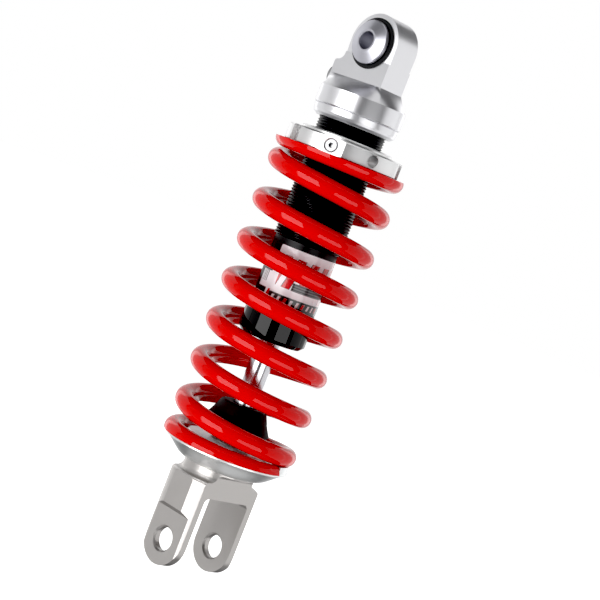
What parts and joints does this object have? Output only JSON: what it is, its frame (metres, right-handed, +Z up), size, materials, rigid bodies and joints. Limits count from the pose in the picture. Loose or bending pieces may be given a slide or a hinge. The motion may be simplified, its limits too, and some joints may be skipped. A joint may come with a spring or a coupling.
{
  "type": "rear shock absorber",
  "caption": "Coil-over rear shock absorber: single-tube gas damper with threaded preload collar, rubber-bushed upper eye, bump stop and lower clevis fork.",
  "frame": {"origin": "centre of the upper eye's bolt hole", "axes": "+Z up the damper's axis from the lower clevis to the upper eye, +X along both fixing bolts, +Y towards the gas filling boss; stored fully extended"},
  "size_m": [0.0696, 0.0696, 0.2991],
  "materials": {
    "machined_alloy": "fine turned and milled, clear anodised",
    "seat_alloy": "bright turned",
    "fork_alloy": "satin, fine blasted then anodised",
    "collar_alloy": "bright turned, clear anodised",
    "tube_black": "black hard anodised, threaded",
    "cap_black": "gloss black",
    "spring_red": "gloss red powder coat",
    "rod_chrome": "hard chrome, ground and polished",
    "steel": "turned",
    "sleeve_steel": "turned, zinc plated",
    "rubber_black": "matt moulded",
    "bump_foam": "fine-celled moulded foam rubber",
    "seal_rubber": "smooth",
    "label_film": "printed film, white and red panels, no lettering",
    "guide_alloy": "turned",
    "bronze": "bronze-backed bush",
    "band_plastic": "filled low-friction plastic",
    "pad_plastic": "nylon"
  },
  "bodies": {
    "mount_sleeve": {"upper_sleeve": "sleeve_steel"},
    "damper_body": {"rubber_bush": "rubber_black", "head": "machined_alloy", "gas_plug": "steel", "plug_seal": "seal_rubber", "lock_ring": "machined_alloy", "damper_tube": "tube_black", "tube_oring": "seal_rubber", "label": "label_film", "rod_guide": "guide_alloy", "guide_bush": "bronze", "guide_oring": "seal_rubber", "rod_seal": "seal_rubber", "end_cap": "cap_black", "wiper_seal": "seal_rubber", "topout_bumper": "rubber_black"},
    "floating_piston": {"gas_piston": "guide_alloy", "gas_piston_oring": "seal_rubber"},
    "spring_carrier": {"coil_spring": "spring_red"},
    "collar": {"preload_collar": "collar_alloy", "collar_set_screw": "steel", "set_screw_pad": "pad_plastic"},
    "rod_assembly": {"piston_rod": "rod_chrome", "rebound_stop": "steel", "rebound_shims": "steel", "piston": "guide_alloy", "piston_band": "band_plastic", "compression_shims": "steel", "clamp_washer": "steel", "piston_nut": "steel", "bump_stop": "bump_foam", "bump_washer": "steel", "lock_nut": "steel", "lower_seat": "seat_alloy", "clevis_fork": "fork_alloy"}
  },
  "joints": [
    {"name": "eye_swing", "type": "hinge", "parent": "mount_sleeve", "child": "damper_body", "pos_m": [0, 0, 0], "axis": [1, 0, 0], "range_deg": [-15, 15], "stiffness_Nm_per_rad": 25},
    {"name": "stroke", "type": "slide", "parent": "damper_body", "child": "rod_assembly", "axis": [0, 0, 1], "range_m": [0, 0.04], "stiffness_N_per_m": 60000, "springref_m": -0.006, "deforming": ["coil_spring", "bump_stop"]},
    {"name": "gas_piston_travel", "type": "slide", "parent": "damper_body", "child": "floating_piston", "axis": [0, 0, 1], "range_m": [0, 0.0075]},
    {"name": "preload_travel", "type": "slide", "parent": "damper_body", "child": "spring_carrier", "axis": [0, 0, 1], "range_m": [-0.006, 0.006], "deforming": ["coil_spring"]},
    {"name": "preload_turn", "type": "hinge", "parent": "spring_carrier", "child": "collar", "pos_m": [0, 0, 0], "axis": [0, 0, 1], "range_deg": [-1440, 1440]}
  ],
  "couplings": [
    {"joint": "preload_turn", "follows": "preload_travel", "rad_per_m": 4188.7},
    {"joint": "gas_piston_travel", "follows": "stroke", "ratio": 0.1713}
  ]
}
